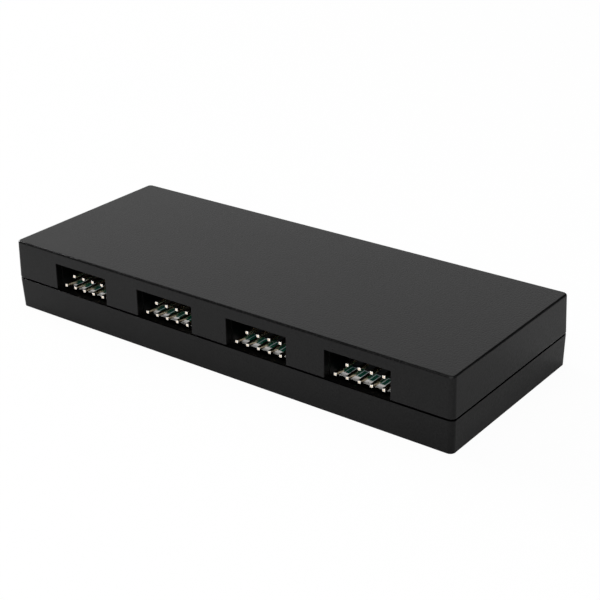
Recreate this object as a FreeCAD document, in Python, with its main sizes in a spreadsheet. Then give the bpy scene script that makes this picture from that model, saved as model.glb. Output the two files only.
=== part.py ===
import FreeCAD, Part
import math
import os
import re
import Sketcher

# An internal hub: a two-part moulded case, a circuit board and keyed pin headers.
# Millimetres, +Z up, X along the row of ports, the ports facing -Y.
# The origin is the middle of the underside of the case.

SIZES = {
    # Case, measured at the parting line, where the drafted walls are widest
    "case_length": 104.5,
    "case_depth": 40.2,
    "base_height": 6.3,
    "parting_gap": 0.4,
    "cover_height": 7.8,
    "wall": 1.5,
    "floor_thickness": 1.5,
    "roof_thickness": 1.5,
    "draft_angle": 1.5,
    "corner_radius": 1.0,
    "rim_radius": 0.4,
    "cavity_radius": 0.6,
    "lip_thickness": 0.6,
    "lip_height": 1.2,
    "lip_clearance": 0.1,
    # Ports in the front wall
    "port_count": 4,
    "port_end_margin": 18.875,
    "port_row_x": -0.45,
    "window_width": 13.9,
    "window_height": 5.8,
    # Pin headers
    "pin_pitch": 2.54,
    "pin_size": 0.64,
    "pin_columns": 5,
    "pin_reach": 6.1,
    "tip_setback": 0.75,
    "tip_chamfer": 0.16,
    "header_depth": 2.5,
    "header_notch_width": 0.8,
    "header_notch_depth": 0.4,
    "bend_setback": 1.5,
    "bend_bevel": 0.5,
    "tail_length": 1.2,
    "tail_clearance": 0.12,
    "uplink_inset": 19.25,
    # Circuit board
    "board_thickness": 1.0,
    "standoff_height": 3.8,
    "board_setback": 4.3,
    "board_clearance": 0.5,
    "tongue_length": 2.2,
    "tongue_margin": 0.5,
    # Ribs under the board, and guide walls that flank each plug and hold the board down
    "rib_thickness": 1.2,
    "guide_thickness": 1.2,
    "guide_margin": 0.6,
    "guide_bearing": 2.0,
    # Screws, and the bosses that clamp the board between them
    "boss_inset": 6.75,
    "boss_diameter": 5.6,
    "pilot_diameter": 1.8,
    "pilot_depth": 4.5,
    "shank_hole": 2.4,
    "recess_diameter": 4.4,
    "recess_depth": 2.2,
    "head_diameter": 3.8,
    "head_height": 1.4,
    "head_bevel": 0.4,
    "screw_length": 8.0,
    "drive_length": 2.2,
    "drive_width": 0.6,
    "drive_depth": 0.7,
    # Power inlet in the rear wall
    "inlet_end_gap": 11.75,
    "inlet_width": 25.0,
    "inlet_height": 5.4,
    "inlet_depth": 3.0,
    "inlet_setback": 6.5,
    "inlet_clearance": 0.4,
    "arm_width": 1.8,
    "arm_lift": 0.35,
    "arm_setback": 0.5,
    "blade_width": 20.6,
    "blade_thickness": 1.2,
    "blade_rise": 2.3,
    "blade_setback": 0.9,
    "blade_key_width": 1.0,
    "blade_key_drop": 1.3,
    "contact_count": 15,
    "contact_pitch": 1.27,
    "contact_width": 0.8,
    "contact_thickness": 0.25,
    "contact_tip_gap": 0.6,
    "contact_leg_gap": 0.5,
    "contact_foot": 1.0,
    # Hub chip
    "chip_x": 0.0,
    "chip_y": 3.0,
    "chip_length": 10.2,
    "chip_width": 5.3,
    "chip_height": 1.7,
    "chip_lift": 0.1,
    "chip_bevel": 0.25,
    "chip_mark": 0.8,
    "chip_mark_depth": 0.1,
    "lead_count": 14,
    "lead_pitch": 0.65,
    "lead_width": 0.26,
    "lead_thickness": 0.16,
    "lead_rise": 0.8,
    "lead_shoulder": 0.3,
    "lead_slope": 0.25,
    "lead_foot": 0.6,
    # Regulator
    "regulator_x": -13.0,
    "regulator_y": 3.5,
    "regulator_length": 6.5,
    "regulator_width": 3.5,
    "regulator_height": 1.6,
    "regulator_bevel": 0.3,
    "regulator_lead_pitch": 2.3,
    "regulator_lead_width": 0.7,
    "regulator_tab_width": 3.0,
    # Clock crystal
    "crystal_x": 13.0,
    "crystal_y": 3.0,
    "crystal_length": 11.4,
    "crystal_width": 4.8,
    "crystal_base_height": 0.8,
    "can_length": 10.4,
    "can_width": 4.0,
    "can_height": 3.2,
    "can_bevel": 0.4,
    "flange_height": 0.4,
    "flange_width": 0.3,
    # Bulk capacitors
    "bulk_count": 3,
    "bulk_gap": 0.4,
    "bulk_boss_gap": 0.4,
    "bulk_y": 3.2,
    "bulk_base_margin": 0.2,
    "bulk_base_height": 1.2,
    "bulk_base_bevel": 1.3,
    "bulk_diameter": 6.2,
    "bulk_height": 4.4,
    "bulk_bevel": 0.4,
    # Small parts behind each port and beside the chip
    "small_parts_y": -3.2,
    "fuse_offset": -2.6,
    "fuse_length": 4.5,
    "fuse_width": 3.2,
    "fuse_height": 0.9,
    "ceramic_offset": 1.9,
    "ceramic_length": 1.25,
    "ceramic_width": 2.0,
    "ceramic_height": 0.9,
    "resistor_offset": 4.0,
    "resistor_length": 0.8,
    "resistor_width": 1.6,
    "resistor_height": 0.45,
    "resistor_pitch": 1.6,
    "resistor_columns": 2,
    "chip_parts_y": 8.6,
    "chip_parts_pitch": 3.0,
    "chip_parts_count": 3,
}

# Places and lengths that follow from the sizes
PLACES = {
    "cover_bottom": "base_height + parting_gap",
    "front": "-case_depth / 2",
    "rear": "case_depth / 2",
    "board_bottom": "floor_thickness + standoff_height",
    "board_top": "board_bottom + board_thickness",
    "roof_middle": "cover_bottom + cover_height - roof_thickness / 2",
    "lip_inset": "wall - lip_thickness",
    "wall_cut": "wall * 2",
    "port_pitch": "(case_length - port_end_margin * 2) / (port_count - 1)",
    "first_port_x": "port_row_x - port_pitch * (port_count - 1) / 2",
    "first_rib_x": "port_row_x - port_pitch * (port_count - 2) / 2",
    "uplink_x": "case_length / 2 - uplink_inset",
    "inlet_x": "inlet_end_gap + inlet_width / 2 - case_length / 2",
    "boss_x": "case_length / 2 - boss_inset",
    "header_width": "pin_pitch * pin_columns",
    "header_setback": "tip_setback + pin_reach",
    "first_column_x": "-pin_pitch * (pin_columns - 1) / 2",
    "lower_row": "pin_pitch / 2",
    "upper_row": "pin_pitch * 3 / 2",
    "lower_tail": "header_depth + bend_setback",
    "tail_bottom": "-board_thickness - tail_length",
    "tongue_width": "header_width + tongue_margin * 2",
    "board_edge": "case_depth / 2 - board_setback",
    "board_shoulder": "board_edge - tongue_length",
    "guide_front": "front + wall + lip_clearance * 2",
    "guide_x": "(header_width + guide_thickness) / 2 + guide_margin",
    "blade_top": "blade_rise + blade_thickness",
    "first_contact_x": "-contact_pitch * (contact_count - 1) / 2",
    "first_lead_x": "-lead_pitch * (lead_count - 1) / 2",
    "bulk_base": "bulk_diameter + bulk_base_margin * 2",
    "bulk_pitch": "bulk_base + bulk_gap",
    "bulk_x": "boss_diameter / 2 + bulk_boss_gap + bulk_base / 2 - boss_x",
}

doc = FreeCAD.newDocument("InternalHub")

sheet = doc.addObject("Spreadsheet::Sheet", "Sizes")
for row, (name, number) in enumerate(SIZES.items(), start=1):
    sheet.set(f"A{row}", name)
    sheet.set(f"B{row}", str(number))
    sheet.setAlias(f"B{row}", name)
doc.recompute()

sub_parts = []

# Middle, width and top of each opening in the rear wall
REAR_WINDOWS = (
    ("uplink_x", "window_width", "base_height + window_height"),
    ("inlet_x", "inlet_width + inlet_clearance * 2", "board_top + inlet_height + inlet_clearance"),
)


def formula(text):
    """Spell a formula out: places become their own formulas, sizes become cells of the sheet."""
    def spell(match):
        word = match.group(0)
        if word in PLACES:
            return "(" + formula(PLACES[word]) + ")"
        return f"Sizes.{word}" if word in SIZES else word
    return re.sub(r"[a-z][a-z_]*", spell, text)


def bind(thing, path, text):
    """Tie a property or a constraint to a formula on the sheet."""
    thing.setExpression(path, formula(text))


def new_body(label, x="0", y="0", z="0", angle=0):
    """A sub-part with its own origin at x, y, z, turned about Z by so many degrees."""
    body = doc.addObject("PartDesign::Body", label)
    body.Label = label
    body.Placement.Rotation = FreeCAD.Rotation(FreeCAD.Vector(0, 0, 1), angle)
    for axis, text in zip("xyz", (x, y, z)):
        bind(body, f"Placement.Base.{axis}", text)
    sub_parts.append(body)
    return body


def origin_part(body, role):
    """One of the planes or axes of a body's own origin."""
    return next(part for part in body.Origin.OriginFeatures if part.Role == role)


def new_sketch(body, plane, x="0", y="0", z="0"):
    """A sketch parallel to an origin plane, its own zero at x, y, z of the body."""
    sketch = body.newObject("Sketcher::SketchObject", f"{body.Label}_sketch")
    sketch.AttachmentSupport = [(origin_part(body, plane), "")]
    sketch.MapMode = "FlatFace"
    along = {
        "XY_Plane": (x, y, z),
        "XZ_Plane": (x, z, f"-({y})"),
        "YZ_Plane": (y, z, x),
    }[plane]
    for axis, text in zip("xyz", along):
        bind(sketch, f"AttachmentOffset.Base.{axis}", text)
    return sketch


def place_point(sketch, geometry, point, x, y):
    """Hold one point of a sketch at x, y from the sketch's zero."""
    for direction, text in (("DistanceX", x), ("DistanceY", y)):
        constraint = sketch.addConstraint(
            Sketcher.Constraint(direction, -1, 1, geometry, point, 1.0))
        bind(sketch, f"Constraints[{constraint}]", text)


def draw_polygon(sketch, corners):
    """A closed outline of straight lines through corners given as pairs of formulas."""
    count = len(corners)
    ring = []
    for corner in range(count):
        angle = 2 * math.pi * corner / count
        ring.append(FreeCAD.Vector(math.cos(angle), math.sin(angle), 0))
    lines = []
    for corner in range(count):
        segment = Part.LineSegment(ring[corner], ring[(corner + 1) % count])
        lines.append(sketch.addGeometry(segment))
    for corner, (x, y) in enumerate(corners):
        before = lines[corner - 1]
        sketch.addConstraint(Sketcher.Constraint("Coincident", before, 2, lines[corner], 1))
        place_point(sketch, lines[corner], 1, x, y)


def draw_rectangle(sketch, width, height, x="0", y="0"):
    """A rectangle about x, y."""
    right = f"{x} + ({width}) / 2"
    top = f"{y} + ({height}) / 2"
    left = f"{x} - ({width}) / 2"
    bottom = f"{y} - ({height}) / 2"
    draw_polygon(sketch, [(left, bottom), (right, bottom), (right, top), (left, top)])


def draw_circle(sketch, diameter, x="0", y="0"):
    """A circle about x, y."""
    circle = sketch.addGeometry(Part.Circle(FreeCAD.Vector(), FreeCAD.Vector(0, 0, 1), 1.0))
    place_point(sketch, circle, 3, x, y)
    constraint = sketch.addConstraint(Sketcher.Constraint("Diameter", circle, 2.0))
    bind(sketch, f"Constraints[{constraint}]", diameter)


def draw_boss_pair(sketch, diameter):
    """Two circles on the long middle line of the case, one near each end."""
    for side in ("", "-"):
        draw_circle(sketch, diameter, f"{side}boss_x")


def extrude(kind, body, sketch, length, backwards=False, draft=None):
    """A Pad or a Pocket of a sketch, straight or with drafted sides."""
    feature = body.newObject(f"PartDesign::{kind}", f"{body.Label}_{kind.lower()}")
    feature.Profile = sketch
    feature.Reversed = backwards
    bind(feature, "Length", length)
    if draft:
        bind(feature, "TaperAngle", draft)
    body.Tip = feature
    return feature


def pad(body, sketch, length, backwards=False, draft=None):
    """Material from the sketch along its normal, or against it when backwards."""
    return extrude("Pad", body, sketch, length, backwards, draft)


def pocket(body, sketch, length, backwards=False, draft=None):
    """A cut from the sketch against its normal, or along it when backwards."""
    before = solid_volume(body)
    feature = extrude("Pocket", body, sketch, length, backwards, draft)
    if solid_volume(body) >= before:
        raise RuntimeError(f"a pocket of {body.Label} cuts nothing")
    return feature


def pad_both_ways(body, sketch, length):
    """Material half to each side of the sketch."""
    feature = pad(body, sketch, length)
    feature.SideType = "Symmetric"
    return feature


def turn(body, sketch):
    """Material swept by the sketch round the body's own Z axis."""
    feature = body.newObject("PartDesign::Revolution", f"{body.Label}_revolution")
    feature.Profile = sketch
    feature.ReferenceAxis = (origin_part(body, "Z_Axis"), [""])
    body.Tip = feature
    return feature


def solid_volume(body):
    """Volume of a body as it stands."""
    doc.recompute()
    return body.Tip.Shape.Volume


def repeat(body, features, axis, spacing, count):
    """Copies of some features at even spacing along an origin axis."""
    pattern = body.newObject("PartDesign::LinearPattern", f"{body.Label}_row")
    pattern.Originals = features
    pattern.Direction = (origin_part(body, axis), [""])
    bind(pattern, "Length", f"({spacing}) * ({count} - 1)")
    bind(pattern, "Occurrences", count)
    body.Tip = pattern
    return pattern


def repeat_body(body, axis, spacing, count):
    """Copies of all that the body holds so far, which must be up to date first."""
    doc.recompute()
    pattern = repeat(body, [], axis, spacing, count)
    pattern.TransformMode = "Whole shape"
    return pattern


def dress(kind, body, chosen, path, text):
    """A Fillet or a Chamfer on the edges of the body that pass a test."""
    doc.recompute()
    base = body.Tip
    names = [f"Edge{n}" for n, edge in enumerate(base.Shape.Edges, start=1) if chosen(edge)]
    feature = body.newObject(f"PartDesign::{kind}", f"{body.Label}_{kind.lower()}")
    feature.Base = (base, names)
    bind(feature, path, text)
    body.Tip = feature
    return feature


def fillet(body, chosen, radius):
    """Round the edges that pass a test."""
    return dress("Fillet", body, chosen, "Radius", radius)


def chamfer(body, chosen, size):
    """Bevel the edges that pass a test."""
    return dress("Chamfer", body, chosen, "Size", size)


def upright(edge):
    """True for an edge that climbs more than it runs, drafted or not."""
    box = edge.BoundBox
    return box.ZLength > max(box.XLength, box.YLength)


def lies_at(edge, axis, place):
    """True for an edge that lies in the plane axis = place."""
    box = edge.BoundBox
    low = getattr(box, f"{axis}Min")
    high = getattr(box, f"{axis}Max")
    return abs(low - place) < 1e-4 and abs(high - place) < 1e-4


def inner_corner(edge):
    """True for an upright edge that lies within the outer skin of the case."""
    middle = edge.BoundBox.Center
    within_ends = abs(middle.x) < (sheet.case_length - sheet.wall) / 2
    within_sides = abs(middle.y) < (sheet.case_depth - sheet.wall) / 2
    return upright(edge) and within_ends and within_sides


def outermost(body, axis, low=False):
    """Test for the edges that lie at a body's highest, or lowest, place along an axis."""
    doc.recompute()
    ends = [getattr(vertex, axis) for vertex in body.Tip.Shape.Vertexes]
    place = min(ends) if low else max(ends)
    return lambda edge: lies_at(edge, axis, place)


def make_bottom_case():
    """The lower half: a drafted tray with a locating lip, ribs under the board and screw bosses."""
    body = new_body("bottom_case")
    outline = new_sketch(body, "XY_Plane", z="base_height")
    draw_rectangle(outline, "case_length", "case_depth")
    pad(body, outline, "base_height", backwards=True, draft="-draft_angle")
    fillet(body, upright, "corner_radius")

    lip = new_sketch(body, "XY_Plane", z="base_height")
    draw_rectangle(lip, "case_length - lip_inset * 2", "case_depth - lip_inset * 2")
    pad(body, lip, "lip_height")
    cavity = new_sketch(body, "XY_Plane", z="base_height + lip_height")
    draw_rectangle(cavity, "case_length - wall * 2", "case_depth - wall * 2")
    pocket(body, cavity, "base_height + lip_height - floor_thickness", draft="-draft_angle")
    fillet(body, inner_corner, "cavity_radius")

    notch = new_sketch(body, "XZ_Plane", "first_port_x", "front", "base_height + lip_height / 2")
    draw_rectangle(notch, "window_width", "lip_height")
    repeat(body, [pocket(body, notch, "wall_cut")], "X_Axis", "port_pitch", "port_count")
    for x, width, _ in REAR_WINDOWS:
        notch = new_sketch(body, "XZ_Plane", x, "rear", "base_height + lip_height / 2")
        draw_rectangle(notch, width, "lip_height")
        pocket(body, notch, "wall_cut", backwards=True)

    rib = new_sketch(body, "XY_Plane", "first_rib_x", "0", "floor_thickness / 2")
    draw_rectangle(rib, "rib_thickness", "case_depth - wall")
    rib_pad = pad(body, rib, "board_bottom - floor_thickness / 2")
    repeat(body, [rib_pad], "X_Axis", "port_pitch", "port_count - 1")

    bosses = new_sketch(body, "XY_Plane", z="floor_thickness / 2")
    draw_boss_pair(bosses, "boss_diameter")
    pad(body, bosses, "board_bottom - floor_thickness / 2")
    for diameter, depth in (("shank_hole", "board_bottom"), ("recess_diameter", "recess_depth")):
        holes = new_sketch(body, "XY_Plane")
        draw_boss_pair(holes, diameter)
        pocket(body, holes, depth, backwards=True)


def make_top_cover():
    """The upper half: a drafted lid with plug windows, guide walls beside them and screw bosses."""
    body = new_body("top_cover")
    outline = new_sketch(body, "XY_Plane", z="cover_bottom")
    draw_rectangle(outline, "case_length", "case_depth")
    pad(body, outline, "cover_height", draft="-draft_angle")
    fillet(body, upright, "corner_radius")
    fillet(body, outermost(body, "Z"), "rim_radius")

    cavity = new_sketch(body, "XY_Plane", z="cover_bottom")
    draw_rectangle(cavity, "case_length - wall * 2", "case_depth - wall * 2")
    pocket(body, cavity, "cover_height - roof_thickness", backwards=True, draft="-draft_angle")
    fillet(body, inner_corner, "cavity_radius")
    rabbet = new_sketch(body, "XY_Plane", z="cover_bottom")
    play = "(lip_inset - lip_clearance) * 2"
    draw_rectangle(rabbet, f"case_length - {play}", f"case_depth - {play}")
    pocket(body, rabbet, "lip_height - parting_gap", backwards=True)

    window = new_sketch(body, "XZ_Plane", "first_port_x", "front", "base_height + window_height / 2")
    draw_rectangle(window, "window_width", "window_height")
    repeat(body, [pocket(body, window, "wall_cut")], "X_Axis", "port_pitch", "port_count")
    for x, width, top in REAR_WINDOWS:
        window = new_sketch(body, "XZ_Plane", x, "rear", f"({top} + base_height) / 2")
        draw_rectangle(window, width, f"{top} - base_height")
        pocket(body, window, "wall_cut", backwards=True)

    bearing = ("guide_bearing - board_shoulder", "board_top", "roof_middle")
    skirt = ("-board_shoulder - board_clearance", "board_bottom", "board_top")
    for back, low, high in (bearing, skirt):
        middle = f"(guide_front + {back}) / 2"
        front_guides = new_sketch(body, "XY_Plane", "first_port_x", middle, low)
        draw_guides(front_guides, f"{back} - (guide_front)")
        walls = pad(body, front_guides, f"{high} - {low}")
        repeat(body, [walls], "X_Axis", "port_pitch", "port_count")
        rear_guides = new_sketch(body, "XY_Plane", "uplink_x", f"-({middle})", low)
        draw_guides(rear_guides, f"{back} - (guide_front)")
        pad(body, rear_guides, f"{high} - {low}")

    bosses = new_sketch(body, "XY_Plane", z="board_top")
    draw_boss_pair(bosses, "boss_diameter")
    pad(body, bosses, "roof_middle - board_top")
    pilots = new_sketch(body, "XY_Plane", z="board_top")
    draw_boss_pair(pilots, "pilot_diameter")
    pocket(body, pilots, "pilot_depth", backwards=True)


def draw_guides(sketch, depth):
    """The two walls that flank one plug."""
    for side in ("", "-"):
        draw_rectangle(sketch, "guide_thickness", depth, f"{side}guide_x")


def make_case_screws():
    """Two self-tapping screws, driven up from the underside, through the board and into the cover."""
    body = new_body("case_screws", "-boss_x", "0", "recess_depth")
    half = new_sketch(body, "XZ_Plane")
    draw_polygon(half, [
        ("0", "-head_height"),
        ("head_diameter / 2 - head_bevel", "-head_height"),
        ("head_diameter / 2", "head_bevel - head_height"),
        ("head_diameter / 2", "0"),
        ("pilot_diameter / 2", "0"),
        ("pilot_diameter / 2", "screw_length"),
        ("0", "screw_length"),
    ])
    turn(body, half)
    for length, width in (("drive_length", "drive_width"), ("drive_width", "drive_length")):
        slot = new_sketch(body, "XY_Plane", z="-head_height")
        draw_rectangle(slot, length, width)
        pocket(body, slot, "drive_depth", backwards=True)
    repeat_body(body, "X_Axis", "boss_x * 2", "2")


def make_circuit_board():
    """The board: a long strip with a tongue under each connector, held by the case's screws."""
    body = new_body("circuit_board", z="board_bottom")
    outline = new_sketch(body, "XY_Plane")
    draw_rectangle(outline, "case_length - (wall + board_clearance) * 2", "board_shoulder * 2")
    pad(body, outline, "board_thickness")

    tongue_y = "board_shoulder + tongue_length / 2"
    tongue = new_sketch(body, "XY_Plane", "first_port_x", f"-({tongue_y})")
    draw_rectangle(tongue, "tongue_width", "tongue_length")
    repeat(body, [pad(body, tongue, "board_thickness")], "X_Axis", "port_pitch", "port_count")
    for x, width in (("uplink_x", "tongue_width"), ("inlet_x", "inlet_width")):
        tongue = new_sketch(body, "XY_Plane", x, tongue_y)
        draw_rectangle(tongue, width, "tongue_length")
        pad(body, tongue, "board_thickness")

    screws = new_sketch(body, "XY_Plane")
    draw_boss_pair(screws, "shank_hole")
    pocket(body, screws, "board_thickness", backwards=True)
    front_holes = new_sketch(body, "XY_Plane", "first_port_x", "front + header_setback")
    draw_pin_holes(front_holes, "")
    holes = pocket(body, front_holes, "board_thickness", backwards=True)
    repeat(body, [holes], "X_Axis", "port_pitch", "port_count")
    rear_holes = new_sketch(body, "XY_Plane", "uplink_x", "rear - header_setback")
    draw_pin_holes(rear_holes, "-")
    pocket(body, rear_holes, "board_thickness", backwards=True)


def draw_pin_holes(sketch, sign):
    """Holes for the tails of one header, which faces -Y, or +Y where the sign is minus."""
    width = "pin_size + tail_clearance * 2"
    for row in range(2):
        for column in range(row, int(sheet.pin_columns)):
            x = f"{sign}(first_column_x + pin_pitch * {column})"
            draw_rectangle(sketch, width, width, x, f"{sign}(lower_tail + pin_pitch * {row})")


def make_header(label, x, y, angle):
    """One insulator: a moulded block on the board, notched between the pins, a hole for each pin."""
    body = new_body(label, x, y, "board_top", angle)
    face = new_sketch(body, "XZ_Plane", z="pin_pitch")
    draw_rectangle(face, "header_width", "pin_pitch * 2")
    pad(body, face, "header_depth", backwards=True)

    notch = new_sketch(body, "XZ_Plane", "first_column_x + pin_pitch / 2", "0", "pin_pitch * 2")
    half = "header_notch_width / 2"
    draw_polygon(notch, [(f"-{half}", "0"), (half, "0"), ("0", "-header_notch_depth")])
    repeat(body, [pocket(body, notch, "header_depth")], "X_Axis", "pin_pitch", "pin_columns - 1")

    for row in ("lower_row", "upper_row"):
        hole = new_sketch(body, "XZ_Plane", "first_column_x", "0", row)
        draw_rectangle(hole, "pin_size", "pin_size")
        repeat(body, [pocket(body, hole, "header_depth")], "X_Axis", "pin_pitch", "pin_columns")


def make_pins(label, x, y, angle):
    """Nine bent pins: five in the lower row, four in the upper, the first upper one left out as a key."""
    body = new_body(label, x, y, "board_top", angle)
    half = "pin_size / 2"
    for row in range(2):
        axis = f"pin_pitch * ({row} + 1 / 2)"
        tail = f"lower_tail + pin_pitch * {row}"
        side = new_sketch(body, "YZ_Plane", f"first_column_x + pin_pitch * {row}")
        draw_polygon(side, [
            ("-pin_reach", f"{axis} - {half}"),
            (f"{tail} - {half}", f"{axis} - {half}"),
            (f"{tail} - {half}", "tail_bottom"),
            (f"{tail} + {half}", "tail_bottom"),
            (f"{tail} + {half}", f"{axis} + {half} - bend_bevel"),
            (f"{tail} + {half} - bend_bevel", f"{axis} + {half}"),
            ("-pin_reach", f"{axis} + {half}"),
        ])
        pin = pad_both_ways(body, side, "pin_size")
        repeat(body, [pin], "X_Axis", "pin_pitch", f"pin_columns - {row}")
    chamfer(body, outermost(body, "Y", low=True), "tip_chamfer")


def make_power_inlet():
    """The rear power plug: a block with two guide arms and a keyed blade that carries the contacts."""
    body = new_body("power_inlet", "inlet_x", "rear - inlet_setback", "board_top")
    block = new_sketch(body, "XZ_Plane", z="inlet_height / 2")
    draw_rectangle(block, "inlet_width", "inlet_height")
    pad(body, block, "inlet_depth")

    arm_x = "inlet_width / 2 - arm_width / 2"
    for side in ("", "-"):
        arm = new_sketch(body, "XZ_Plane", f"{side}({arm_x})", "0", "(inlet_height + arm_lift) / 2")
        draw_rectangle(arm, "arm_width", "inlet_height - arm_lift")
        pad(body, arm, "inlet_setback - arm_setback", backwards=True)
    blade = new_sketch(body, "XZ_Plane", z="blade_rise + blade_thickness / 2")
    draw_rectangle(blade, "blade_width", "blade_thickness")
    pad(body, blade, "inlet_setback - blade_setback", backwards=True)
    key_x = "blade_width / 2 - blade_key_width / 2"
    key = new_sketch(body, "XZ_Plane", key_x, "0", "blade_rise - blade_key_drop / 2")
    draw_rectangle(key, "blade_key_width", "blade_key_drop")
    pad(body, key, "inlet_setback - blade_setback", backwards=True)

    slot = new_sketch(body, "XZ_Plane", "first_contact_x", "0", "blade_top + contact_thickness / 2")
    draw_rectangle(slot, "contact_width", "contact_thickness")
    slots = pocket(body, slot, "inlet_depth", backwards=True)
    repeat(body, [slots], "X_Axis", "contact_pitch", "contact_count")


def make_power_contacts():
    """Fifteen flat contacts along the blade, each bent down behind the block to a foot on the board."""
    body = new_body("power_contacts", "inlet_x", "rear - inlet_setback", "board_top")
    side = new_sketch(body, "YZ_Plane", "first_contact_x")
    tip = "inlet_setback - blade_setback - contact_tip_gap"
    leg = "-(inlet_depth + contact_leg_gap)"
    top = "blade_top + contact_thickness"
    draw_polygon(side, [
        (tip, "blade_top"),
        (tip, top),
        (f"{leg} - contact_thickness", top),
        (f"{leg} - contact_thickness", "contact_thickness"),
        (f"{leg} - contact_foot", "contact_thickness"),
        (f"{leg} - contact_foot", "0"),
        (leg, "0"),
        (leg, "blade_top"),
    ])
    repeat(body, [pad_both_ways(body, side, "contact_width")], "X_Axis", "contact_pitch", "contact_count")


def draw_gull_wing(sketch, start, rise, thickness):
    """Side view of a lead that leaves a moulded body, slopes down and ends in a foot on the board."""
    knee = f"{start} + lead_shoulder"
    heel = f"{knee} + lead_slope"
    draw_polygon(sketch, [
        (start, rise),
        (start, f"{rise} + {thickness}"),
        (f"{knee} + {thickness}", f"{rise} + {thickness}"),
        (f"{heel} + {thickness}", thickness),
        (f"{heel} + lead_foot", thickness),
        (f"{heel} + lead_foot", "0"),
        (heel, "0"),
        (knee, rise),
    ])


def mirror(body, features, plane):
    """The same features on the other side of an origin plane."""
    feature = body.newObject("PartDesign::Mirrored", f"{body.Label}_mirror")
    feature.Originals = features
    feature.MirrorPlane = (origin_part(body, plane), [""])
    body.Tip = feature
    return feature


def make_hub_chip():
    """The controller: a moulded body with a bevelled edge and a first-pin dimple, and its leads."""
    body = new_body("hub_chip", "chip_x", "chip_y", "board_top")
    outline = new_sketch(body, "XY_Plane", z="chip_lift")
    draw_rectangle(outline, "chip_length", "chip_width")
    pad(body, outline, "chip_height")
    chamfer(body, outermost(body, "Z"), "chip_bevel")
    mark_inset = "chip_bevel + chip_mark"
    mark = new_sketch(body, "XY_Plane", f"{mark_inset} - chip_length / 2",
                      f"{mark_inset} - chip_width / 2", "chip_lift + chip_height")
    draw_circle(mark, "chip_mark")
    pocket(body, mark, "chip_mark_depth")

    leads = new_body("hub_chip_leads", "chip_x", "chip_y", "board_top")
    side = new_sketch(leads, "YZ_Plane", "first_lead_x")
    draw_gull_wing(side, "chip_width / 2", "lead_rise", "lead_thickness")
    lead = pad_both_ways(leads, side, "lead_width")
    repeat(leads, [lead], "X_Axis", "lead_pitch", "lead_count")
    mirror_body(leads, "XZ_Plane")


def mirror_body(body, plane):
    """All that the body holds so far, on the other side of an origin plane as well."""
    feature = mirror(body, [], plane)
    feature.TransformMode = "Whole shape"
    return feature


def make_regulator():
    """The regulator: a moulded body, three leads on one side and a wide tab on the other."""
    body = new_body("regulator", "regulator_x", "regulator_y", "board_top")
    outline = new_sketch(body, "XY_Plane", z="chip_lift")
    draw_rectangle(outline, "regulator_length", "regulator_width")
    pad(body, outline, "regulator_height")
    chamfer(body, outermost(body, "Z"), "regulator_bevel")

    leads = new_body("regulator_leads", "regulator_x", "regulator_y", "board_top", 180)
    side = new_sketch(leads, "YZ_Plane", "-regulator_lead_pitch")
    draw_gull_wing(side, "regulator_width / 2", "lead_rise", "contact_thickness")
    lead = pad_both_ways(leads, side, "regulator_lead_width")
    repeat(leads, [lead], "X_Axis", "regulator_lead_pitch", "3")
    tab = new_body("regulator_tab", "regulator_x", "regulator_y", "board_top")
    side = new_sketch(tab, "YZ_Plane")
    draw_gull_wing(side, "regulator_width / 2", "lead_rise", "contact_thickness")
    pad_both_ways(tab, side, "regulator_tab_width")


def make_crystal():
    """The crystal: a drawn metal can with a flange, on a plastic base."""
    base = new_body("crystal_base", "crystal_x", "crystal_y", "board_top")
    plate = new_sketch(base, "XY_Plane")
    draw_rectangle(plate, "crystal_length", "crystal_width")
    pad(base, plate, "crystal_base_height")
    chamfer(base, upright, "can_bevel")

    can = new_body("crystal_can", "crystal_x", "crystal_y", "board_top + crystal_base_height")
    pad_stadium(can, "can_length + flange_width * 2", "can_width + flange_width * 2", "flange_height")
    pad_stadium(can, "can_length", "can_width", "can_height")
    chamfer(can, outermost(can, "Z"), "can_bevel")


def pad_stadium(body, length, width, height):
    """Material with straight sides and round ends, up from the body's own zero."""
    middle = new_sketch(body, "XY_Plane")
    draw_rectangle(middle, f"{length} - ({width})", width)
    pad(body, middle, height)
    ends = new_sketch(body, "XY_Plane")
    for side in ("", "-"):
        draw_circle(ends, width, f"{side}({length} - ({width})) / 2")
    pad(body, ends, height)


def make_bulk_capacitors():
    """Bulk capacitors: a drawn can on a square base with two bevelled corners."""
    bases = new_body("capacitor_bases", "bulk_x", "bulk_y", "board_top")
    edge = "bulk_base / 2"
    cut = "bulk_base / 2 - bulk_base_bevel"
    plate = new_sketch(bases, "XY_Plane")
    draw_polygon(plate, [
        (f"-{edge}", f"-{edge}"),
        (cut, f"-{edge}"),
        (edge, f"-({cut})"),
        (edge, cut),
        (cut, edge),
        (f"-{edge}", edge),
    ])
    pad(bases, plate, "bulk_base_height")
    repeat_body(bases, "X_Axis", "bulk_pitch", "bulk_count")

    cans = new_body("capacitor_cans", "bulk_x", "bulk_y", "board_top + bulk_base_height")
    half = new_sketch(cans, "XZ_Plane")
    draw_polygon(half, [
        ("0", "0"),
        ("bulk_diameter / 2", "0"),
        ("bulk_diameter / 2", "bulk_height - bulk_bevel"),
        ("bulk_diameter / 2 - bulk_bevel", "bulk_height"),
        ("0", "bulk_height"),
    ])
    turn(cans, half)
    repeat_body(cans, "X_Axis", "bulk_pitch", "bulk_count")


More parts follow.
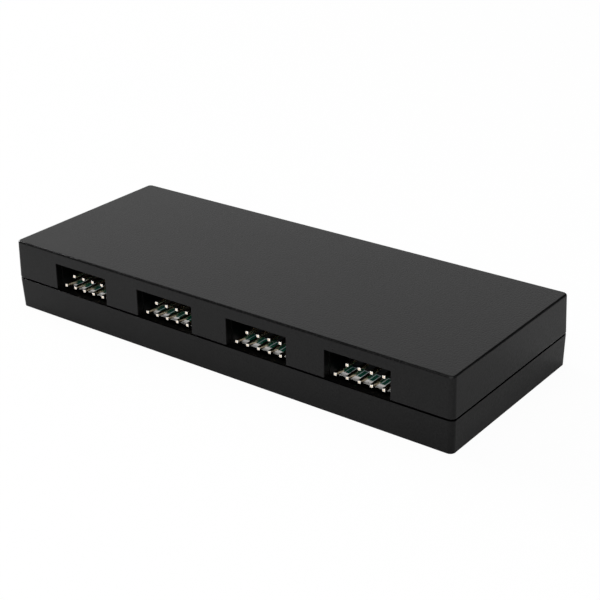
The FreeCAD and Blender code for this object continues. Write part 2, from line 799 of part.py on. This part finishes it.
def make_small_parts():
    """Fuses, ceramic capacitors and resistors: one set behind each port, and a row beside the chip."""
    fuses = new_body("port_fuses", "first_port_x + fuse_offset", "small_parts_y", "board_top")
    block = new_sketch(fuses, "XY_Plane")
    draw_rectangle(block, "fuse_length", "fuse_width")
    pad(fuses, block, "fuse_height")
    repeat_body(fuses, "X_Axis", "port_pitch", "port_count")

    ceramics = new_body("chip_capacitors", z="board_top")
    size = ("ceramic_length", "ceramic_width", "ceramic_height")
    block = small_block(ceramics, "first_port_x + ceramic_offset", "small_parts_y", size)
    repeat(ceramics, [block], "X_Axis", "port_pitch", "port_count")
    block = small_block(ceramics, "chip_x - chip_parts_pitch", "chip_parts_y", size)
    repeat(ceramics, [block], "X_Axis", "chip_parts_pitch", "chip_parts_count")

    resistors = new_body("chip_resistors", z="board_top")
    size = ("resistor_length", "resistor_width", "resistor_height")
    for column in range(int(sheet.resistor_columns)):
        x = f"first_port_x + resistor_offset + resistor_pitch * {column}"
        block = small_block(resistors, x, "small_parts_y", size)
        repeat(resistors, [block], "X_Axis", "port_pitch", "port_count")
    block = small_block(resistors, "chip_x - chip_parts_pitch / 2", "chip_parts_y", size)
    repeat(resistors, [block], "X_Axis", "chip_parts_pitch", "chip_parts_count")


def small_block(body, x, y, size):
    """One small rectangular part on the board."""
    length, width, height = size
    outline = new_sketch(body, "XY_Plane", x, y)
    draw_rectangle(outline, length, width)
    return pad(body, outline, height)


make_bottom_case()
make_top_cover()
make_case_screws()
make_circuit_board()
for port in range(int(sheet.port_count)):
    port_x = f"first_port_x + port_pitch * {port}"
    make_header(f"port_{port + 1}_header", port_x, "front + header_setback", 0)
    make_pins(f"port_{port + 1}_pins", port_x, "front + header_setback", 0)
make_header("uplink_header", "uplink_x", "rear - header_setback", 180)
make_pins("uplink_pins", "uplink_x", "rear - header_setback", 180)
make_power_inlet()
make_power_contacts()
make_hub_chip()
make_regulator()
make_crystal()
make_bulk_capacitors()
make_small_parts()
doc.recompute()

for item in doc.Objects:
    if "Invalid" in item.State or "Error" in item.State:
        raise RuntimeError(f"{item.Name} of {item.Label} failed: {item.State}")
for body in sub_parts:
    if body.Shape.isNull() or not body.Shape.isValid():
        raise RuntimeError(f"{body.Label} has no valid shape")

os.makedirs("parts", exist_ok=True)
for body in sub_parts:
    body.Shape.exportStep(f"parts/{body.Label}.step")
    print(body.Label, len(body.Shape.Solids), "solids", round(body.Shape.Volume, 2), "mm3")
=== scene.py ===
import bpy
import numpy as np
from mathutils import Matrix, Vector


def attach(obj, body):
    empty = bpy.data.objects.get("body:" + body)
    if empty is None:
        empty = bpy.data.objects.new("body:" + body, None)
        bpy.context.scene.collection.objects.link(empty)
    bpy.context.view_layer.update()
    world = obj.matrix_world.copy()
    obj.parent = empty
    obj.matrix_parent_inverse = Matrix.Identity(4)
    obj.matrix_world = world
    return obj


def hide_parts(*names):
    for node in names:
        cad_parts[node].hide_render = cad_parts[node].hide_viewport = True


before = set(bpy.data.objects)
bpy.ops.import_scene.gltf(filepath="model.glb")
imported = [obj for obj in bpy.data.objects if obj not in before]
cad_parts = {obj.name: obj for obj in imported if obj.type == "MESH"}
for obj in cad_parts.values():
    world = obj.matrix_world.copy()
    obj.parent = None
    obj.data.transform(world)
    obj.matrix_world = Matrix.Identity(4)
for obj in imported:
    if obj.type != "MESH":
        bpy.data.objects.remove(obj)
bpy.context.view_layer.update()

# Tray: the lower half of the case, injection moulded in black plastic.
# The mould is spark eroded, so the skin has a fine matt grain, lighter on the drafted sides than on top.
# A lip round its rim goes up into the cover, and two screws pull the halves together.
MM = 0.001
SKIN_X = 51.5 * MM
SKIN_Y = 19.7 * MM
SKIN_BOTTOM_Z = 0.6 * MM
SKIN_TOP_Z = 13.9 * MM
SKIN_BLEND = 0.2 * MM
SEAM_Z = 6.5 * MM
SEAM_HALF = 0.21 * MM
SEAM_BLUR = 0.04 * MM
SPARK_SCALE = 2900.0
SPARK_DEPTH = 0.055 * MM
CLOUD_SCALE = 70.0
CASE_EDGE = 0.12 * MM
TRAY_GLOSS = 0.126


class Wire:
    """A socket that carries a value over a surface. Sums on it add Math nodes to its node tree."""

    def __init__(self, socket):
        self.socket = socket

    def node(self, kind, settings, sockets, output=0):
        """Add a node: its type, its settings, then the values or wires of its sockets."""
        tree = self.socket.id_data
        made = tree.nodes.new(f"ShaderNode{kind}")
        for name, value in settings.items():
            setattr(made, name, value)
        for key, value in sockets.items():
            if isinstance(value, Wire):
                tree.links.new(value.socket, made.inputs[key])
            else:
                made.inputs[key].default_value = value
        return Wire(made.outputs[output])

    def sum(self, operation, *values):
        """A Math node on some values or wires."""
        return self.node("Math", {"operation": operation}, dict(enumerate(values)))

    def __add__(self, other):
        return self.sum("ADD", self, other)

    def __sub__(self, other):
        return self.sum("SUBTRACT", self, other)

    def __mul__(self, other):
        return self.sum("MULTIPLY", self, other)

    def __rsub__(self, other):
        return self.sum("SUBTRACT", other, self)

    def __abs__(self):
        return self.sum("ABSOLUTE", self)

    def __mod__(self, other):
        return self.sum("FLOORED_MODULO", self, other)

    __radd__ = __add__
    __rmul__ = __mul__

    def ramp(self, low, high):
        """0 below low, 1 above high and a smooth step between them. Falls where high is under low."""
        return self.node("MapRange", {"interpolation_type": "SMOOTHSTEP"}, {0: self, 1: low, 2: high})

    def between(self, first, second):
        """A colour that goes from the first to the second as this value goes from 0 to 1."""
        return self.node("Mix", {"data_type": "RGBA"}, {0: self, 6: first, 7: second}, 2)

    def axes(self):
        """The three parts of a vector."""
        split = self.node("SeparateXYZ", {}, {0: self})
        return [Wire(socket) for socket in split.socket.node.outputs]

    def stretch(self, x, y, z):
        """The same coordinates, scaled along each axis."""
        return self.node("Mapping", {}, {0: self, "Scale": (x, y, z)})

    def noise(self, scale, detail=2.0):
        """Smooth noise whose lumps are about 1 / scale across."""
        return self.node("TexNoise", {}, {"Vector": self, "Scale": scale, "Detail": detail})

    def feed(self, name):
        """Link this wire to a socket of the material's shader."""
        tree = self.socket.id_data
        tree.links.new(self.socket, tree.nodes["Principled BSDF"].inputs[name])


def colour(red, green, blue):
    """A colour with full alpha."""
    return (red, green, blue, 1.0)


def new_finish(name, fixed):
    """A material with its fixed shader values set, and the wire of its Object coordinates."""
    material = bpy.data.materials.new(name)
    material.use_nodes = True
    shader = material.node_tree.nodes["Principled BSDF"]
    for socket, value in fixed.items():
        shader.inputs[socket].default_value = value
    return material, Wire(shader.outputs[0]).node("TexCoord", {}, {}, "Object")


def facing(place):
    """The parts of the surface's own direction along each axis, from coordinates of new_finish."""
    return Wire(place.socket.node.outputs["Normal"]).axes()


def bumpy(place, height, depth, edge_radius):
    """Feed the normal: a relief of the given depth, over edges rounded by a small radius."""
    edges = place.node("Bevel", {"samples": 6}, {"Radius": edge_radius})
    relief = {"Strength": 1.0, "Distance": depth, "Height": height, "Normal": edges}
    place.node("Bump", {}, relief).feed("Normal")


def finish_nodes(material, *names):
    """Give CAD nodes a finish."""
    for name in names:
        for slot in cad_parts[name].material_slots:
            slot.material = material


def moulded_finish(name, gloss):
    """Black plastic with a spark-eroded grain outside, and smooth inside and in the seam, where painted
    shade makes it near black.

    The ends are a little duller than the front, and the top's rounded rim is polished by handling.
    """
    black, grey = colour(0.0022, 0.0022, 0.0023), colour(0.0066, 0.0066, 0.0067)
    # Painted shade: the near-black colour given to the inside of the case and to the parting groove.
    shade_black = colour(0.0006, 0.0006, 0.0006)
    material, place = new_finish(name, {"Specular IOR Level": gloss})
    x, y, z = place.axes()
    across, _, upward = facing(place)
    across, upward = abs(across), abs(upward)
    end = across.ramp(0.4, 0.9)
    flat = upward.ramp(0.3, 0.8)
    rounded = upward.ramp(0.08, 0.25) * upward.ramp(0.98, 0.92)
    rim = rounded * z.ramp(SKIN_TOP_Z, SKIN_TOP_Z + SKIN_BLEND / 2)
    polish = rim * (across.ramp(0.1, 0.3) * 0.25 + 0.30)
    inside = abs(x).ramp(SKIN_X + SKIN_BLEND, SKIN_X) * abs(y).ramp(SKIN_Y + SKIN_BLEND / 2, SKIN_Y)
    above = z.ramp(SKIN_BOTTOM_Z - SKIN_BLEND, SKIN_BOTTOM_Z)
    below = z.ramp(SKIN_TOP_Z + SKIN_BLEND, SKIN_TOP_Z)
    inside = inside * above * below
    seam = abs(z - SEAM_Z).ramp(SEAM_HALF + SEAM_BLUR, SEAM_HALF)
    painted_shade = inside.sum("MAXIMUM", inside, seam)
    spark = place.noise(SPARK_SCALE, 1.5)
    cloud = place.noise(CLOUD_SCALE)
    outside = (spark * 0.75 + cloud * 0.25).ramp(0.25, 0.75).between(black, grey)
    # Painted shade: the inside of the case and the parting groove are coloured near black.
    painted_shade.between(outside, shade_black).feed("Base Color")
    matt = spark * 0.28 + 0.20
    dull = inside * (flat * 0.25 - 0.05) + end * 0.10
    smooth = (1 - seam * (1 - inside) * 0.75) * (1 - polish)
    ((matt + dull) * smooth).feed("Roughness")
    grain = flat * 0.8 + 0.5 - end * 0.15
    relief = spark * grain * (1 - painted_shade) * (1 - rim * 0.8)
    bumpy(place, relief, SPARK_DEPTH, CASE_EDGE)
    return material


finish_nodes(moulded_finish("tray_plastic", TRAY_GLOSS), "bottom_case")

# Circuit board: glass-fibre laminate, 1 mm thick, with green solder mask and white printed pin outlines.
# Its edges are routed, so the pale fibres show there, with darker flecks where the cutter tore.
# It lies on the tray's ribs, and the cover's guide walls hold it down.
PORT_COUNT = 4
PORT_PITCH = 22.25 * MM
FIRST_PORT_X = -33.825 * MM
PIN_PITCH = 2.54 * MM
OUTLINE_END_Y = 13.28 * MM
OUTLINE_HALF = 0.47 * MM
OUTLINE_ROW_HALF = 6.0 * MM
OUTLINE_ROW_END = 6.2 * MM
INK_HALF = 0.125 * MM
INK_CORE = INK_HALF * 0.6
INK_BLUR = 0.02 * MM
INLET_SIDE_X = 20.0 * MM
EDGE_SHADE_FULL_Z = 5.55 * MM
EDGE_SHADE_END_Z = 5.95 * MM
BOARD_EDGE = 0.05 * MM
MASK_DARK = colour(0.002, 0.100, 0.066)
MASK_LIGHT = colour(0.008, 0.185, 0.121)
INK_WHITE = colour(0.82, 0.95, 1.0)
FIBRE_DARK = colour(0.52, 0.52, 0.51)
FIBRE_LIGHT = colour(0.96, 0.95, 0.93)
FLECK_GREY = colour(0.16, 0.15, 0.14)
board_finish, place = new_finish("masked_laminate", {"Coat Roughness": 0.2, "Specular IOR Level": 0.3})
x, y, z = place.axes()
face = abs(facing(place)[2]).ramp(0.4, 0.6)
# The outlines: two lines beside each pin and one across their end, along the rims of the board
from_port = (x - (FIRST_PORT_X - PORT_PITCH / 2)) % PORT_PITCH - PORT_PITCH / 2
from_pin = abs((from_port + PIN_PITCH / 2) % PIN_PITCH - PIN_PITCH / 2)
at_port = abs(from_port).ramp(OUTLINE_ROW_END, OUTLINE_ROW_HALF)
at_rim = abs(y).ramp(OUTLINE_END_Y - INK_BLUR, OUTLINE_END_Y + INK_BLUR)
along = abs(from_pin - OUTLINE_HALF).ramp(INK_HALF, INK_CORE)
across = abs(abs(y) - (OUTLINE_END_Y + INK_HALF)).ramp(INK_HALF, INK_CORE)
across = across * from_pin.ramp(OUTLINE_HALF + INK_BLUR, OUTLINE_HALF)
under_inlet = y.ramp(0.0, MM) * x.ramp(INLET_SIDE_X + MM, INLET_SIDE_X)
ink = along.sum("MAXIMUM", along, across) * at_port * at_rim * face * (1 - under_inlet)
# The solder mask over the weave, and the cut edge with its fibres and flecks, with painted shade towards
# its bottom
weave = place.noise(1900.0, 2.0)
printed = ink.between(weave.ramp(0.35, 0.65).between(MASK_DARK, MASK_LIGHT), INK_WHITE)
fibres = place.stretch(900.0, 900.0, 9000.0).noise(1.0, 3.0)
flecks = place.stretch(1500.0, 1500.0, 4200.0).noise(1.0, 1.0).ramp(0.54, 0.64)
# Painted shade: the cut edge is coloured darker towards its bottom, where shade falls.
edge_out_of_shade = z.ramp(EDGE_SHADE_FULL_Z, EDGE_SHADE_END_Z)
edge = (edge_out_of_shade * 0.7 + fibres * 0.3).between(FIBRE_DARK, FIBRE_LIGHT)
edge = (flecks * (1 - edge_out_of_shade)).between(edge, FLECK_GREY)
face.between(edge, printed).feed("Base Color")
(face * -0.45 + 0.75 + weave * 0.1 + ink * 0.3).feed("Roughness")
((face - ink) * 0.5).feed("Coat Weight")
bumpy(place, ink + fibres * 0.3, 0.02 * MM, BOARD_EDGE)
finish_nodes(board_finish, "circuit_board")

# Header insulators: four for the ports and one for the lead from the main board.
# They are moulded in glass-filled black plastic and slid on to the pins.
# The power inlet, the crystal's base and the capacitors' bases are of the same kind.
header_finish, place = new_finish("glass_filled_plastic", {"Specular IOR Level": 0.2})
flow = place.stretch(900.0, 2600.0, 2600.0).noise(1.0, 3.0)
flow.between(colour(0.002, 0.002, 0.003), colour(0.005, 0.005, 0.006)).feed("Base Color")
(flow * 0.2 + 0.34).feed("Roughness")
bumpy(place, flow, 0.006 * MM, 0.06 * MM)
for port in range(1, PORT_COUNT + 1):
    finish_nodes(header_finish, f"port_{port}_header")
finish_nodes(header_finish, "uplink_header", "power_inlet", "crystal_base", "capacitor_bases")

# Header pins: nine to a header, square drawn brass wire with a thin gold plating.
# Each has a tapered tip whose cut shows the brass, a bend behind the insulator and a soldered tail.
# The upper row has four, because the place of the key pin stays empty.
PIN_COLUMNS = 5
ROW_COUNT = 2
PIN_SIZE = 0.64 * MM
PIN_REACH = 6.1 * MM
LOWER_TAIL = 4.0 * MM
TAIL_BOTTOM = 4.1 * MM
TAIL_TAPER = 0.2 * MM
TAIL_SHARE = 0.62
BOARD_TOP = 6.3 * MM
BEND_RADIUS = 0.62 * MM
BEND_STATIONS = 9
TIP_TAPER = 0.13 * MM
TIP_STATIONS = 6
TIP_SHARE = 0.74
CORE_SHARE = 0.30
HEADER_FACE_Y = 13.25 * MM
UPLINK_X = 33.0 * MM
RING_POINTS = 24
SECTION_POWER = 8
HIGHLIGHT_START = 0.25 * MM
HIGHLIGHT_FULL = 0.12 * MM
PLATING_DARK = colour(0.74, 0.60, 0.42)
PLATING_LIGHT = colour(0.88, 0.75, 0.57)
# Painted highlight: the near-white colour of the glint on each pin's tip.
TIP_PAINTED_HIGHLIGHT = colour(0.99, 0.95, 0.89)
BARE_BRASS = colour(0.86, 0.66, 0.44)


def pin_path(row):
    """Stations of one pin as distance back y, height z, the wire's slope and its share of full width.

    Along the axis from the flat cut at the tip, which widens as a quarter round, then a quarter circle
    down round the bend, then straight down to the narrowed end of the tail.
    """
    height = BOARD_TOP + PIN_PITCH * (row + 0.5)
    tail = LOWER_TAIL + PIN_PITCH * row
    taper = np.linspace(0.0, np.pi / 2, TIP_STATIONS)
    turn = np.linspace(0.0, np.pi / 2, BEND_STATIONS)
    tip_y = np.append(-PIN_REACH, -PIN_REACH + TIP_TAPER * (1 - np.cos(taper)))
    tip_share = np.append(CORE_SHARE, TIP_SHARE + (1 - TIP_SHARE) * np.sin(taper))
    bend_y = tail - BEND_RADIUS + BEND_RADIUS * np.sin(turn)
    bend_z = height - BEND_RADIUS * (1 - np.cos(turn))
    back = np.concatenate([tip_y, bend_y, [tail, tail]])
    up = np.concatenate([np.full(len(tip_y), height), bend_z, [TAIL_BOTTOM + TAIL_TAPER, TAIL_BOTTOM]])
    slope = np.concatenate([np.zeros(len(tip_y)), turn, [np.pi / 2, np.pi / 2]])
    share = np.concatenate([tip_share, np.ones(BEND_STATIONS + 1), [TAIL_SHARE]])
    return back, up, slope, share


def pin_rows(columns, row):
    """Points of one row of pins: a rounded square carried along the pin's path.

    The section is a superellipse, |a|^8 + |b|^8 = half width^8, square to the path at each station.
    """
    back, up, slope, share = pin_path(row)
    angle = np.linspace(0.0, 2 * np.pi, RING_POINTS, endpoint=False)
    half = PIN_SIZE / 2
    across = half * np.sign(np.cos(angle)) * np.abs(np.cos(angle)) ** (2 / SECTION_POWER)
    above = half * np.sign(np.sin(angle)) * np.abs(np.sin(angle)) ** (2 / SECTION_POWER)
    points = np.empty((len(columns), len(back), RING_POINTS, 3))
    points[..., 0] = np.asarray(columns)[:, None, None] + share[:, None] * across
    points[..., 1] = back[:, None] + np.sin(slope)[:, None] * share[:, None] * above
    points[..., 2] = up[:, None] + np.cos(slope)[:, None] * share[:, None] * above
    return points


def tube_faces(first, stations, ring):
    """Quads between the rings of one tube whose points start at first, and its two flat ends."""
    station, step = np.meshgrid(np.arange(stations - 1), np.arange(ring), indexing="ij")
    here = first + station * ring + step
    beside = first + station * ring + (step + 1) % ring
    quads = np.stack([here, here + ring, beside + ring, beside], axis=-1).reshape(-1, 4)
    start = first + np.arange(ring)
    end = first + (stations - 1) * ring + np.arange(ring)[::-1]
    return quads.tolist(), [start.tolist(), end.tolist()]


def make_pins(name, x, sign):
    """One header's nine pins as a mesh. The sign is -1 where the header faces the rear.

    The lower row fills each column and the upper row starts one column later. The points are moved
    to the header's place, and turned half round by the sign. The cut at each tip is marked as core.
    """
    rows = []
    for row in range(ROW_COUNT):
        columns = PIN_PITCH * (np.arange(row, PIN_COLUMNS) - (PIN_COLUMNS - 1) / 2)
        rows.append(pin_rows(columns, row))
    points = np.concatenate(rows)
    pins, stations = points.shape[:2]
    points = points.reshape(-1, 3)
    points[:, 0] = x + sign * points[:, 0]
    points[:, 1] = sign * (points[:, 1] - HEADER_FACE_Y)
    sides, ends = [], []
    for pin in range(pins):
        quads, caps = tube_faces(pin * stations * RING_POINTS, stations, RING_POINTS)
        sides += quads
        ends += caps
    mesh = bpy.data.meshes.new(name)
    mesh.from_pydata(points.tolist(), [], sides + ends)
    smooth = np.arange(len(sides) + len(ends)) < len(sides)
    mesh.polygons.foreach_set("use_smooth", smooth)
    core = np.zeros((pins, stations, RING_POINTS))
    core[:, 0] = 1.0
    mesh.attributes.new("cut_core", "FLOAT", "POINT").data.foreach_set("value", core.ravel())
    mesh.update()
    return bpy.data.objects.new(name, mesh)


pin_finish, place = new_finish("gold_flash", {"Metallic": 1.0})
drawn = place.stretch(9000.0, 500.0, 9000.0).noise(1.0, 2.0)
sides = drawn.between(PLATING_DARK, PLATING_LIGHT)
tip_end = HEADER_FACE_Y + PIN_REACH
# Painted highlight: the last quarter millimetre of each pin is coloured near white, as the glint on its
# tip.
tip = abs(place.axes()[1]).ramp(tip_end - HIGHLIGHT_START, tip_end - HIGHLIGHT_FULL)
plating_and_highlight = tip.between(sides, TIP_PAINTED_HIGHLIGHT)
core = place.node("Attribute", {"attribute_name": "cut_core"}, {}, "Fac").ramp(0.4, 1.0)
core.between(plating_and_highlight, BARE_BRASS).feed("Base Color")
(drawn * 0.12 + 0.14).feed("Roughness")
place.node("Bump", {}, {"Strength": 0.3, "Distance": 0.002 * MM, "Height": drawn}).feed("Normal")
headers = [(f"port_{port + 1}", FIRST_PORT_X + PORT_PITCH * port, 1) for port in range(PORT_COUNT)]
headers.append(("uplink", UPLINK_X, -1))
for header, header_x, sign in headers:
    pins = make_pins(f"{header}_drawn_pins", header_x, sign)
    bpy.context.scene.collection.objects.link(pins)
    pins.data.materials.append(pin_finish)
    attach(pins, "root")
    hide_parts(f"{header}_pins")

# Power contacts: fifteen flat strips stamped from brass and gold plated.
# They lie along the blade of the power inlet, bend down behind its block and are soldered by the foot.
finish_nodes(pin_finish, "power_contacts")

# Hub chip and regulator: epoxy moulded over their lead frames, matt from the mould.
# The leads and the regulator's tab are copper alloy with a dull tin plating.
chip_finish, place = new_finish("moulded_epoxy", {"Specular IOR Level": 0.4})
grain = place.noise(7000.0, 3.0)
grain.between(colour(0.016, 0.016, 0.018), colour(0.032, 0.032, 0.035)).feed("Base Color")
(grain * 0.2 + 0.5).feed("Roughness")
bumpy(place, grain, 0.008 * MM, 0.04 * MM)
finish_nodes(chip_finish, "hub_chip", "regulator")
tin_finish, place = new_finish("dull_tin", {"Metallic": 1.0})
dull = place.noise(9000.0, 3.0)
dull.between(colour(0.62, 0.62, 0.61), colour(0.80, 0.80, 0.79)).feed("Base Color")
(dull * 0.25 + 0.3).feed("Roughness")
bumpy(place, dull, 0.003 * MM, 0.03 * MM)
finish_nodes(tin_finish, "hub_chip_leads", "regulator_leads", "regulator_tab")

# Cans of the crystal and of the bulk capacitors: drawn from thin sheet, so lightly streaked.
# They are pressed or crimped on to their plastic bases.
can_finish, place = new_finish("drawn_can", {"Metallic": 1.0})
streak = place.stretch(2500.0, 2500.0, 260.0).noise(1.0, 3.0)
streak.between(colour(0.66, 0.66, 0.67), colour(0.84, 0.84, 0.84)).feed("Base Color")
(streak * 0.2 + 0.24).feed("Roughness")
bumpy(place, streak, 0.003 * MM, 0.08 * MM)
finish_nodes(can_finish, "crystal_can", "capacitor_cans")

# Port fuses, ceramic capacitors and resistors: small blocks with tinned ends, soldered flat to the board.
# The fuses are pressed polymer, the capacitors fired clay and the resistors printed on alumina.
FUSE_OFFSET = -2.6 * MM
FUSE_BODY_HALF = 1.75 * MM
PORT_PARTS_Y = -3.2 * MM
CHIP_PARTS_Y = 8.6 * MM
CERAMIC_BODY_HALF = 0.65 * MM
RESISTOR_BODY_HALF = 0.5 * MM
TINNED = colour(0.70, 0.70, 0.69)


def small_part_finish(name, dark, light, axis, middles, half):
    """A mottled body whose ends, past half from the nearest of the middles along an axis, are tinned."""
    material, place = new_finish(name, {})
    along = place.axes()[axis]
    mottle = place.noise(5000.0, 3.0)
    body = mottle.between(dark, light)
    reach = abs(along - middles[0])
    for middle in middles[1:]:
        reach = reach.sum("MINIMUM", reach, abs(along - middle))
    end = reach.ramp(half, half + 0.04 * MM)
    end.between(body, TINNED).feed("Base Color")
    end.feed("Metallic")
    (mottle * 0.15 + 0.42 - end * 0.1).feed("Roughness")
    bumpy(place, mottle, 0.005 * MM, 0.06 * MM)
    return material


fuse_dark, fuse_light = colour(0.010, 0.045, 0.022), colour(0.022, 0.085, 0.040)
fuse_middles = [FIRST_PORT_X + FUSE_OFFSET + PORT_PITCH * port for port in range(PORT_COUNT)]
fuse_finish = small_part_finish("pressed_polymer", fuse_dark, fuse_light,
                                axis=0, middles=fuse_middles, half=FUSE_BODY_HALF)
finish_nodes(fuse_finish, "port_fuses")
part_rows = [PORT_PARTS_Y, CHIP_PARTS_Y]
clay_dark, clay_light = colour(0.30, 0.20, 0.11), colour(0.42, 0.29, 0.17)
ceramic_finish = small_part_finish("fired_ceramic", clay_dark, clay_light,
                                   axis=1, middles=part_rows, half=CERAMIC_BODY_HALF)
finish_nodes(ceramic_finish, "chip_capacitors")
glaze_dark, glaze_light = colour(0.010, 0.010, 0.011), colour(0.03, 0.03, 0.032)
resistor_finish = small_part_finish("overglazed_resistor", glaze_dark, glaze_light,
                                    axis=1, middles=part_rows, half=RESISTOR_BODY_HALF)
finish_nodes(resistor_finish, "chip_resistors")

# Cover: the upper half of the case, of the same plastic as the tray but from a slightly glossier mould.
# Its front wall has a window for each plug, and guide walls behind them hold the board down.
COVER_GLOSS = 0.155
finish_nodes(moulded_finish("cover_plastic", COVER_GLOSS), "top_cover")

# Case screws: two cross-recessed self-tapping screws, steel with a black zinc coat.
# They go up from the underside, through the board and into the cover's bosses.
screw_finish, place = new_finish("black_zinc", {"Metallic": 1.0})
coat = place.noise(3500.0, 3.0)
coat.between(colour(0.05, 0.05, 0.055), colour(0.11, 0.11, 0.115)).feed("Base Color")
(coat * 0.2 + 0.3).feed("Roughness")
bumpy(place, coat, 0.004 * MM, 0.08 * MM)
finish_nodes(screw_finish, "case_screws")

# Floor and light: a wide white sheet, with soft lamps above, in front and at the left.
# A pale backdrop stands at the rear left, and a weak fill at the right for the views from the left.
# The floor is white to the camera, and keeps a part of its shade so that the case stands on it.
FLOOR_HALF = 4.0
FLOOR_Z = -0.02 * MM
WHITE = colour(1.0, 1.0, 1.0)
SEEN_WHITE = 0.96
MIRRORED_WHITE = 0.08
ROOM_LEVEL = 0.06
FILL_LEVEL = 0.30
BACKDROP_X = -0.75
BACKDROP_Y = 0.66
floor_mesh = bpy.data.meshes.new("floor")
signs = [(-1, -1), (1, -1), (1, 1), (-1, 1)]
corners = [(FLOOR_HALF * x, FLOOR_HALF * y, FLOOR_Z) for x, y in signs]
floor_mesh.from_pydata(corners, [], [(0, 1, 2, 3)])
floor = bpy.data.objects.new("floor", floor_mesh)
bpy.context.scene.collection.objects.link(floor)
floor_finish, place = new_finish("white_sheet", {"Roughness": 0.9, "Specular IOR Level": 0.0})
floor_mesh.materials.append(floor_finish)
place.noise(300.0).between(colour(0.87, 0.87, 0.87), colour(0.90, 0.90, 0.90)).feed("Base Color")
tree = floor_finish.node_tree
rays = place.node("LightPath", {}, {}).socket.node.outputs
seen = Wire(rays["Is Camera Ray"]) * SEEN_WHITE + Wire(rays["Is Glossy Ray"]) * MIRRORED_WHITE
seen = seen.sum("MAXIMUM", seen, Wire(rays["Is Transmission Ray"]) * SEEN_WHITE)
glow = seen.node("Emission", {}, {"Color": WHITE, "Strength": 1.0})
sheet = Wire(tree.nodes["Principled BSDF"].outputs[0])
mixed = seen.node("MixShader", {}, {0: seen, 1: sheet, 2: glow})
tree.links.new(mixed.socket, tree.nodes["Material Output"].inputs["Surface"])

world = bpy.data.worlds.new("studio")
bpy.context.scene.world = world
world.use_nodes = True
sky = world.node_tree.nodes["Background"]
x, y, z = Wire(sky.outputs[0]).node("TexCoord", {}, {}, "Generated").axes()
backdrop = (x * BACKDROP_X + y * BACKDROP_Y).ramp(0.45, 0.85) * (z.ramp(0.30, 0.62) * 1.15 + 0.52)
fill = x.ramp(0.15, 0.65) * y.ramp(0.75, 0.62) * z.ramp(0.10, 0.45) * FILL_LEVEL
ceiling = z.ramp(0.64, 0.84)
level = (backdrop + ROOM_LEVEL + fill) * (1 - ceiling * 0.85)
world.node_tree.links.new(level.socket, sky.inputs["Strength"])
sky.inputs["Color"].default_value = WHITE

# The lamps: name, side in metres, watts and place
lamps = [("top_softbox", 0.5, 1.0, (-0.05, 0.10, 0.75)),
         ("front_softbox", 0.8, 4.0, (0.135, -0.47, 0.344)),
         ("left_softbox", 0.55, 14.5, (-1.10, 0.07, 0.34))]
for name, size, power, spot in lamps:
    lamp = bpy.data.lights.new(name, "AREA")
    lamp.size = size
    lamp.energy = power
    lamp_object = bpy.data.objects.new(name, lamp)
    lamp_object.location = spot
    lamp_object.rotation_euler = (-Vector(spot)).to_track_quat("-Z", "Y").to_euler()
    bpy.context.scene.collection.objects.link(lamp_object)
bpy.context.scene.view_settings.view_transform = "Standard"

# Camera: stands to the right of the ports and looks down at 25 degrees, as the photograph does.
# Its place, turn and lens were worked out from the pitch of the pins and the edges of the case.
camera = bpy.data.cameras.new("photo_camera")
camera.sensor_width = 36.0
camera.lens = 81.39
camera.clip_start = 0.01
camera_object = bpy.data.objects.new("photo_camera", camera)
right = Vector((0.794238, 0.607068, -0.025579))
up = Vector((-0.237392, 0.348786, 0.906638))
back = Vector((0.559312, -0.714015, 0.421133))
stand = Vector((0.1515596, -0.1865505, 0.1184982))
turned = Matrix((right, up, back)).transposed().to_4x4()
camera_object.matrix_world = Matrix.Translation(stand) @ turned
bpy.context.scene.collection.objects.link(camera_object)
bpy.context.scene.camera = camera_object
